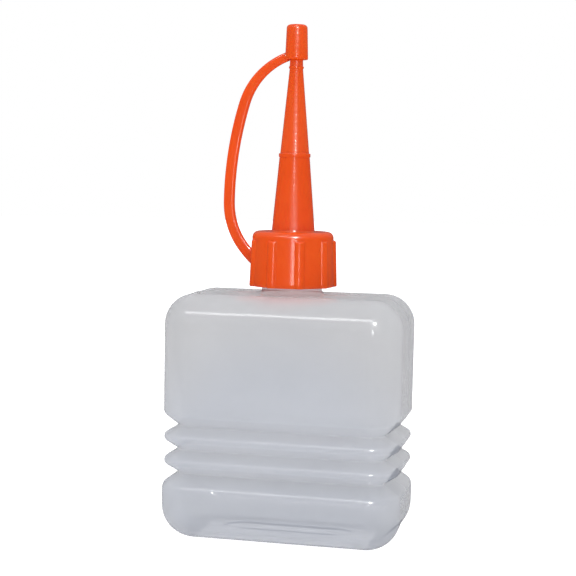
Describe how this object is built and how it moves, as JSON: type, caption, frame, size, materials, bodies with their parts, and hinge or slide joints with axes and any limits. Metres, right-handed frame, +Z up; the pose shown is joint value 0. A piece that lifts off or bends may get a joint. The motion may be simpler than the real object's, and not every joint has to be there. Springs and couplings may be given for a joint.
{
  "type": "glue applicator bottle",
  "caption": "Flat squeeze bottle with a bellows waist, a screw-on tapered spout and a captive tip cap, for dispensing thin glue or oil.",
  "frame": {"origin": "centre of the foot, on the surface that the bottle stands on", "axes": "+Z up through the neck, X along the wide front, the front faces -Y"},
  "size_m": [0.0804, 0.0464, 0.1707],
  "materials": {
    "bottle_plastic": "natural polyethylene, milky and translucent, satin",
    "closure_plastic": "moulded polyethylene, glossy orange",
    "liner_foam": "white foamed polyethylene, matt"
  },
  "bodies": {
    "base": {"bottle_base": "bottle_plastic", "bellows": "bottle_plastic"},
    "bottle": {"bottle_body": "bottle_plastic"},
    "liner": {"cap_liner": "liner_foam"},
    "cap": {"screw_cap": "closure_plastic", "nozzle": "closure_plastic", "tip_strap": "closure_plastic"},
    "tip": {"tip_cap": "closure_plastic"}
  },
  "joints": [
    {"name": "bellows_squeeze", "type": "slide", "parent": "base", "child": "bottle", "axis": [0, 0, -1], "range_m": [0, 0.009], "stiffness_N_per_m": 2000, "deforming": ["bellows"]},
    {"name": "cap_lift", "type": "slide", "parent": "bottle", "child": "liner", "axis": [0, 0, 1], "range_m": [0, 0.012]},
    {"name": "cap_turn", "type": "hinge", "parent": "liner", "child": "cap", "pos_m": [0, 0, 0.093], "axis": [0, 0, 1], "range_deg": [0, 1080]},
    {"name": "tip_pull", "type": "slide", "parent": "cap", "child": "tip", "axis": [0, 0, 1], "range_m": [0, 0.012], "deforming": ["tip_strap"]}
  ],
  "couplings": [
    {"joint": "cap_turn", "follows": "cap_lift", "rad_per_m": 1570.8}
  ]
}
